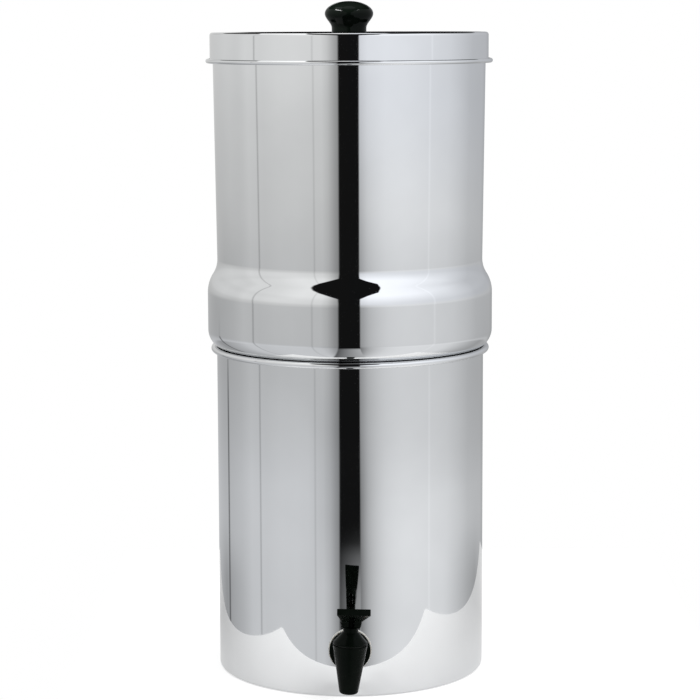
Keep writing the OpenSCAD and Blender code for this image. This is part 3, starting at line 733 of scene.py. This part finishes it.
def stem_cup():
    """Cup that holds the ceramic, over a stem that is threaded up to the floor and bored."""
    inside, edge, lip, tip, bevel = CANDLE_R + SNUG, 0.8, 0.4, 0.9, 0.3
    profile = path(
        line((STEM_BORE_R, CERAMIC_Z), (STEM_BORE_R, STEM_END + bevel)),
        (STEM_BORE_R + bevel, STEM_END), (STEM_R - tip, STEM_END),
        upright(STEM_R, STEM_END + tip, FLOOR_Z, 140),
        line((STEM_R, CUP_Z), (CUP_R - edge, CUP_Z)),
        arc((CUP_R - edge, CUP_Z + edge), edge, -90, 0, 30),
        line((CUP_R, CUP_Z + edge), (CUP_R, CUP_TOP - lip)),
        arc((CUP_R - lip, CUP_TOP - lip), lip, 0, 90, 30),
        (inside + bevel, CUP_TOP),
        line((inside, CUP_TOP - bevel), (inside, CERAMIC_Z), (STEM_BORE_R, CERAMIC_Z)))
    grid = threaded(turned(profile), STEM_R, STEM_END + tip, FLOOR_Z - 1, pitch=1.5, depth=0.6)
    return closed_mesh(grid, ring=True)


def wing(side):
    """One wing of the nut, 4 thick with soft edges: the hull of a round end and a block in
    the hub. For each direction its outline is the farthest of the end and the corners."""
    thick, soft, end_r, end_x, end_z = 4.0, 0.6, 5.0, 14.0, -9.0
    turn = np.linspace(0, TURN, SMALL, endpoint=False)
    way = np.stack([np.cos(turn), np.sin(turn)], 1)
    end = np.array([side * end_x, end_z]) + (end_r - soft) * way
    in_hub = np.array([[side * x, z] for x in (2.5 + soft, 6.5 - soft)
                       for z in (-9.5 + soft, -1.5 - soft)])
    choices = np.hstack([end[:, None], np.tile(in_hub, (SMALL, 1, 1))])
    farthest = (choices * way[:, None]).sum(2).argmax(1)
    core = choices[np.arange(SMALL), farthest]
    swing = np.radians(np.linspace(-90, 90, 9))
    rim = core[:, None] + soft * np.cos(swing)[None, :, None] * way[:, None]
    depth = np.sign(swing) * (thick / 2 - soft) + soft * np.sin(swing)
    grid = np.dstack([rim[..., 0], np.tile(depth, (SMALL, 1)), rim[..., 1]])
    return closed_mesh(capped(grid))


def wing_nut():
    """Hub with soft edges and two wings that lean out and away from the floor, bored."""
    hub_r, hub_h, edge, top_edge = 9.0, 11.0, 0.8, 0.4
    profile = path(
        line((0, 0), (hub_r - top_edge, 0)),
        arc((hub_r - top_edge, -top_edge), top_edge, 90, 0, 30),
        line((hub_r, -top_edge), (hub_r, edge - hub_h)),
        arc((hub_r - edge, edge - hub_h), edge, 0, -90, 30), (0, -hub_h))
    nut = combined(closed_mesh(turned(profile)), [wing(1), wing(-1)], "UNION")
    nut = combined(nut, [rod(STEM_R + SNUG, -16, 2)])
    return moved(nut, Matrix.Translation((0, 0, FLOOR_Z)))


def washer(outer_r, inner_r, low, high):
    """A flat ring whose outer edges are soft."""
    soft = 0.3
    profile = path(
        line((inner_r, low), (outer_r - soft, low)),
        arc((outer_r - soft, low + soft), soft, -90, 0, 30),
        arc((outer_r - soft, high - soft), soft, 0, 90, 30),
        line((outer_r - soft, high), (inner_r, high)))
    return closed_mesh(turned(profile), ring=True)


def candles():
    """Candles alike, each on its own axis, with the nut's wings along the ring's radius."""
    floor_washer = washer(11.0, STEM_R + RUN_PLAY, FLOOR_Z + SHEET, CUP_Z)
    parts = ((ceramic_tube(), "ceramic", "shell"), (stem_cup(), "white_plastic", "cup"),
             (floor_washer, "silicone", "washer"), (wing_nut(), "white_plastic", "wing_nut"))
    for number in CANDLES:
        x, y = candle_axis(number)
        place = Matrix.Translation((x, y, 0)) @ Matrix.Rotation(math.atan2(y, x), 4, "Z")
        for mesh, slot, part in parts:
            piece(f"{part}_of_candle_{number}", moved(mesh.copy(), place), "upper", slot,
                  f"candle_{part}_{number}")


# -------- small fasteners

def knob_screw():
    """Slotted pan-head screw under the lid, threaded where it is in the knob, and a washer."""
    low, high = corners("knob_screw")
    foot, top, head_r = low[2], high[2], high[0]
    head_h, shank_r, edge, tip = 3.0, 2.5, 1.3, 0.4
    profile = path(
        line((0, foot), (head_r - edge, foot)),
        arc((head_r - edge, foot + edge), edge, -90, 0, 15),
        line((head_r, foot + edge), (head_r, foot + head_h), (shank_r, foot + head_h)),
        upright(shank_r, foot + head_h + 0.2, top - tip, 120),
        (shank_r - tip, top), (0, top))
    screw = threaded(turned(profile), shank_r, LID_TOP, top - tip, pitch=0.8, depth=0.35)
    slot_w, slot_depth = 2 * head_r / 7, 1.5
    slot = block((-6, -slot_w / 2, foot - 1), (6, slot_w / 2, foot + slot_depth))
    mesh = combined(closed_mesh(screw), [slot])
    piece("pan_head_screw", mesh, "cover", "bright_steel", "knob_screw")
    under = LID_TOP - SHEET
    mesh = washer(7.5, SCREW_HOLE_R, under - 1.2, under)
    piece("screw_washer", mesh, "cover", "silicone", "knob_washer")


def tap_nut():
    """Hexagon nut with both faces chamfered: its reach round the axis is the smaller of a
    flat's distance / cos(turn from the flat) and a cone that starts at the face."""
    flat, nut_h, chamfer, steep = 12.0, 8.0, 1.25, math.tan(math.radians(60))
    turn = np.linspace(0, 360, SMALL, endpoint=False)[:, None]
    hexagon = flat / np.cos(np.radians(turn % 60 - 30))
    depth = np.linspace(0, chamfer, 6)
    cone = flat - 0.2 + np.hstack([depth, depth[::-1]]) * steep
    height = NUT_Y + np.hstack([0, depth, nut_h - depth[::-1], nut_h])
    bore = np.full((SMALL, 1), SHANK_R + SNUG)
    reach = np.hstack([bore, np.minimum(hexagon, cone), bore])
    mesh = moved(moved(closed_mesh(around(reach, height), ring=True), ALONG), TAP)
    piece("shank_nut", mesh, "base", "tap_plastic", "tap_nut")


def return_spring():
    """Round wire along a helix with flat ends: the height grows evenly with the turn, but for
    the first and last 0.7 turn."""
    turns, flat_turns, wire_r, coil_r = 5, 0.7, 0.4, 6.1
    low, high = CUP_SEALED + SNUG, BONNET_Z - PLUG_LEN - SNUG
    turn = np.linspace(0, turns, 24 * turns + 1)
    share = np.clip((turn - flat_turns) / (turns - 2 * flat_turns), 0, 1)
    middle = low + wire_r + (high - low - 2 * wire_r) * share
    round_wire = np.linspace(0, TURN, 12, endpoint=False)[:, None]
    out = coil_r + wire_r * np.cos(round_wire)
    grid = np.dstack([out * np.cos(TURN * turn), out * np.sin(TURN * turn),
                      middle + wire_r * np.sin(round_wire)])
    mesh = moved(closed_mesh(capped(grid), angle=60), TAP)
    spring = piece("closing_spring", mesh, "base", "bright_steel", "return_spring")
    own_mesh(spring)


def lever_pin():
    """Plain pin with a small chamfer at each end."""
    half, chamfer = 5.7, 0.25
    profile = path((0, -half), (PIN_R - chamfer, -half),
                   line((PIN_R, chamfer - half), (PIN_R, half - chamfer)),
                   (PIN_R - chamfer, half), (0, half))
    mesh = moved(closed_mesh(turned(profile)), LEVER)
    piece("cheek_pin", mesh, "handle", "bright_steel", "lever_pin")


lower_chamber()
upper_chamber()
lid()
lid_knob = knob()
tap_body()
tap_bonnet()
lever()
candles()
knob_screw()
tap_nut()
return_spring()
lever_pin()

for row in frame["record"]["subparts"]:
    materials = frame["nodes"][row["node"]].data.materials
    materials.clear()
    materials.append(FINISHES[row["material_slot"]])
frame["nodes"]["bonnet_gasket"].data.materials[0] = BLACK_SILICONE


# -------- studio, in metres

AIM_Z = 0.35      # height that the studio is set out round
GLIMMER = 0.004   # light that the darkest cloth still gives


def stage_piece(name, grid, material):
    """A surface of the stage from a grid of points, open at its rims."""
    mesh = grid_mesh(grid, unit=1)
    mesh.name = name
    mesh.materials.append(material)
    thing = add_object(mesh)
    return thing


def smooth(value, low, high):
    """0 below low, 1 above high, and a soft step between."""
    t = np.clip((value - low) / (high - low), 0, 1)
    return t * t * (3 - 2 * t)


# Seams of the tent's cloth: azimuth and width in degrees, how much darker they are (below 0,
# lighter), and the elevation at which they end
SEAMS = ((-128, 1.4, 0.75, -8), (-81.5, 0.8, 0.36, 90), (-29, 0.7, 0.18, 90),
         (70, 0.8, -0.09, 90))


def cloth_glow(az, el):
    """How bright the cloth's painted glow is: a share for each side's azimuth, times one for
    height, darker in a stretch beside the camera's slit and at the seams."""
    left = np.interp(az, [-180, -150, -135, -120, -105, -92, -75, -60, -45, -22, -17, -12, -9],
                     [0.55, 0.54, 0.53, 0.57, 0.62, 0.70, 0.68, 0.72, 0.73, 0.70, 0.60, 0.42,
                      0.33])
    left *= np.interp(el, [-19, -16, -14, -11, -8, -5, -1, 2, 4, 12, 24, 57],
                      [1.16, 1.13, 1.05, 0.92, 0.93, 1.04, 1.13, 1.25, 1.28, 1.33, 1.48, 1.5])
    left *= 1 + smooth(el, -8, -3) * np.interp(az, [-155, -135, -120, -100], [0, 0.13, 0.13, 0])
    left *= 1 - np.interp(az, [-35, -20], [0, 1]) * np.interp(el, [-19.5, -17, -13, -11],
                                                              [0, 0.14, 0.14, 0])
    left *= 1 - smooth(el, 8, 20) * np.interp(az, [-168, -150, -130, -105, -62, -40],
                                              [0, 0.22, 0.08, 0.12, 0.1, 0])
    right = np.interp(az, [6, 10, 15, 30, 45, 75, 90, 105, 120, 150, 165, 180],
                      [0.85, 0.93, 1.03, 1.07, 1.04, 0.94, 0.89, 0.78, 0.66, 0.57, 0.44, 0.44])
    right *= np.interp(el, [-19, -16, -14, -11, -8, -5, 4, 10, 20, 27],
                       [1.07, 1.03, 0.9, 0.87, 0.9, 1.02, 1.03, 1.12, 1.28, 1.37])
    right *= 1 - smooth(el, 5, 25) * np.interp(az, [60, 120], [0, 0.16])
    beside = np.interp(el, [-19, -16, -13, -8, -5, -1, 3], [0.78, 0.75, 0.58, 0.5, 0.38, 0.2, 0])
    right *= 1 - beside * np.exp(-np.maximum(az - 8, 0) / 15)
    glow = np.where(az < 0, left, right)
    glow *= 1 - smooth(-el, 17, 20.5) * np.interp(np.abs(az), [85, 105, 120, 135, 150],
                                                  [0.05, 0.17, 0.25, 0.36, 0.2])
    for centre, width, depth, top in SEAMS:
        glow *= 1 - depth * np.exp(-((az - centre) / width) ** 2) * smooth(-el, -top, 5 - top)
    return glow


def slit_share(az, el):
    """1 inside the opening that the camera looks through, 0 on the cloth, and the light in
    the opening, where a pale stand shows low down. Above the camera the two curtains part to
    a wide opening."""
    across = np.degrees(np.sin(np.radians(az)) * np.cos(np.radians(el)))
    left_edge = -np.interp(el, [0, 19, 27.5, 37, 44.5], [7.7, 7.9, 14.2, 20.5, 23])
    right_edge = np.interp(el, [0, 19, 29, 39.5, 60], [7.7, 7.7, 12.9, 19.5, 18.8])
    share = smooth(across, left_edge - 1.5, left_edge) \
        * (1 - smooth(across, right_edge, right_edge + 0.7)) * (np.abs(az) < 90)
    stand = np.interp(el, [-26, -19.9, -19.2, -18.3, -17.7], [0.34, 0.23, 0.16, 0.087, 0.0])
    return share, GLIMMER + stand * (1 + 0.08 * across)


def overhead(az, el, glow):
    """The glow with what is over the cloth: a dark room with dusk in it away from the camera,
    a dark door behind, a white bank above the left side and a panel at the zenith. facing is
    where round a drum a point is mirrored."""
    e, a = np.radians(el), np.radians(az)
    facing = np.degrees(np.arctan2(np.sin(a) * np.cos(e), 1 + np.cos(a) * np.cos(e)))
    off = np.abs(az)
    open_top = np.interp(off, [0, 95, 140, 180], [57, 55, 30, 22])
    door = smooth(off, 174, 175.2) * smooth(el, -1, 1)
    glow *= (1 - smooth(el, open_top, open_top + 1.5)) * (1 - door)
    bank_foot = np.interp(off, [60, 90, 120, 180], [53, 48, 30, 20])
    bank = smooth(facing, -38, -37) * (1 - smooth(facing, -17, -16)) \
        * smooth(el, bank_foot, bank_foot + 2) * (1 - smooth(off, 122, 138))
    dusk = np.maximum(smooth(off, 50, 90), smooth(el, 59, 65)) * smooth(el, 42, 70)
    zenith = smooth(el, 73, 75)
    return np.maximum.reduce([glow, 1.7 * bank, 0.14 * dusk, 1.3 * zenith])


def cloth(tree, _place):
    """Bleached cotton with a painted glow, which is the mesh's own and stands in for light
    through the cloth; it is cooler where the light is daylight."""
    lit = add(tree, "Attribute", {}, attribute_name="glow")["Fac"]
    daylight = add(tree, "Attribute", {}, attribute_name="cool")["Fac"]
    colour = add(tree, "Mix", {SHARE: daylight, FIRST: srgb("FEFEFC"), SECOND: srgb("F5F8FE")},
                 data_type="RGBA")
    return add(tree, "Emission", {"Color": colour[MIXED], "Strength": lit})[0]


def light_tent():
    """Pale cloth walls round the set, open above and behind, with a slit for the camera: a
    flat disc, an upright wall and a dome, one after another, carried round Z. The glow of
    each point follows from its azimuth and elevation. It is painted light that only gloss
    and glass see: a painted reflection of a studio in the steel and the plastics."""
    count, rows, radius = 720, 200, 2.2
    floor_z, spring_z, crown_z = -0.9, 1.3, 3.0
    along = np.linspace(0, 1, rows)
    disc, wall, dome = (np.clip((along - start) / length, 0, 1)
                        for start, length in ((0, 0.2), (0.2, 0.45), (0.65, 0.35)))
    r = radius * disc * np.cos(dome * math.pi / 2)
    z = floor_z + (spring_z - floor_z) * wall + (crown_z - spring_z) * np.sin(dome * math.pi / 2)
    azimuth = np.linspace(-180, 180, count, endpoint=False)
    elevation = np.degrees(np.arctan2(z - AIM_Z, np.maximum(r, 0.05)))
    az, el = np.meshgrid(azimuth, elevation, indexing="ij")
    angle = np.radians(az)
    grid = np.dstack([np.sin(angle) * r, -np.cos(angle) * r, 0 * az + z])
    # painted light: the tent's glow is painted per point and shows only in reflections
    material = new_material("tent_cloth_painted_glow", cloth)
    material.cycles.emission_sampling = "NONE"
    tent = stage_piece("light_tent", grid, material)
    slit, in_slit = slit_share(az, el)
    glow = overhead(az, el, cloth_glow(az, el) * (1 - slit) + slit * in_slit) + GLIMMER
    cool = np.where(az < 0, np.interp(el, [-15, -5], [0.6, 0.2]),
                    np.interp(el, [-5, 0], [0.5, 0.9]))
    for name, values in (("glow", glow), ("cool", cool)):
        attribute = tent.data.attributes.new(name, "FLOAT", "POINT")
        attribute.data.foreach_set("value", values.astype(np.float32).ravel())
    for ray in ("camera", "diffuse", "shadow", "volume_scatter"):
        setattr(tent, "visible_" + ray, False)


def white_paint(tree, place):
    """Matt white paint. It shows its shadows, is lifted to white for the camera, and in gloss
    it brightens towards the side that faces the camera."""
    seen = add(tree, "LightPath", {})
    for_camera = add(tree, "Math", {0: seen["Is Camera Ray"], 1: 0.45}, operation="MULTIPLY")
    slope = add(tree, "VectorMath", {0: place, 1: (0.0, -1.2, 0.0)}, operation="DOT_PRODUCT")
    near_side = add(tree, "Math", {0: slope["Value"], 1: 0.16}, operation="ADD", use_clamp=True)
    strength = add(tree, "Math", {0: seen["Is Glossy Ray"], 1: near_side[0], 2: for_camera[0]},
                   operation="MULTIPLY_ADD")
    lift = add(tree, "Emission", {"Color": srgb("FFFFFF"), "Strength": strength[0]})
    paint = add(tree, "BsdfDiffuse", {"Color": srgb("E9E9E9")})
    return add(tree, "AddShader", {0: paint[0], 1: lift[0]})[0]


def table():
    """White table top with round corners: its outline drawn in to the middle, and its edge."""
    x0, x1, y0, y1, corner_r = -0.228, 0.299, -0.19, 0.40, 0.012
    top_z, under_z = -0.0001, -0.03
    turn = np.radians(np.linspace(0, 360, 49))[:-1]
    cx = np.where(np.cos(turn) > 0, x1 - corner_r, x0 + corner_r)
    cy = np.where(np.sin(turn) > 0, y1 - corner_r, y0 + corner_r)
    ring = np.stack([cx + corner_r * np.cos(turn), cy + corner_r * np.sin(turn)], 1)
    centre = np.array([(x0 + x1) / 2, (y0 + y1) / 2])
    share = np.array([0.0, 0.7, 1.0, 1.0])[:, None]
    flat = centre + (ring[:, None] - centre) * share
    height = np.tile([[top_z], [top_z], [top_z], [under_z]], (len(turn), 1, 1))
    stage_piece("table", np.dstack([flat, height]), new_material("table_paint", white_paint))


def lamp(name, azimuth, elevation, distance, width, height, power, only=None):
    """A lamp that faces the object from a direction in degrees. Gloss shows the cloth and not
    the lamp, unless the lamp lights only one piece."""
    a, e = math.radians(azimuth), math.radians(elevation)
    away = Vector((math.sin(a) * math.cos(e), -math.cos(a) * math.cos(e), math.sin(e)))
    data = bpy.data.lights.new(name, "AREA")
    data.shape = "RECTANGLE"
    data.size, data.size_y, data.energy = width, height, power
    thing = add_object(data)
    thing.location = Vector((0, 0, AIM_Z)) + away * distance
    thing.rotation_euler = away.to_track_quat("Z", "Y").to_euler()
    thing.visible_glossy = bool(only)
    thing.visible_camera = False
    if only:
        lit = bpy.data.collections.new(name)
        lit.objects.link(only)
        thing.light_linking.receiver_collection = lit


def world():
    """White to the camera, and a plain pale light on everything else."""
    made = bpy.data.worlds.new("studio")
    bpy.context.scene.world = made
    made.use_nodes = True
    tree = made.node_tree
    tree.nodes.clear()
    seen = add(tree, "LightPath", {})
    clear = add(tree, "Math", {0: seen["Is Camera Ray"], 1: seen["Is Transmission Ray"]},
                operation="MAXIMUM")
    strength = add(tree, "MapRange", {"Value": clear[0], "To Min": 0.75, "To Max": 1.0})
    sky = add(tree, "Background", {"Color": srgb("FFFFFF"), "Strength": strength[0]})
    add(tree, "OutputWorld", {"Surface": sky[0]})


def camera():
    """Long lens a little above the lid, turned down, with the slight lean of a hand-set head."""
    place = Vector((0.0149, -1.8627, 0.5238))
    pitch, lean, focal = math.radians(7.4065), math.radians(0.19), 118.88
    aim = Vector((-place.x, -place.y, 0)).normalized()
    look = aim * math.cos(pitch) - Vector((0, 0, math.sin(pitch)))
    data = bpy.data.cameras.new("camera")
    data.lens = focal
    data.shift_y = -0.04
    data.clip_start = 0.05
    data.clip_end = 50
    thing = add_object(data)
    thing.location = place
    level = look.to_track_quat("-Z", "Y").to_matrix()
    thing.rotation_euler = (Matrix.Rotation(lean, 3, look) @ level).to_euler()
    bpy.context.scene.camera = thing


light_tent()
table()
world()
lamp("fill", -68, 55, distance=2.1, width=0.45, height=0.30, power=4.0)
lamp("key", 60, 50, distance=1.9, width=1.2, height=1.2, power=13.0)
lamp("knob_left", -68, 51, distance=2.4, width=1.3, height=0.2, power=110.0, only=lid_knob)
lamp("knob_right", 62, 54, distance=2.4, width=0.5, height=0.14, power=7.0, only=lid_knob)
camera()

bpy.context.scene.view_settings.view_transform = "Standard"
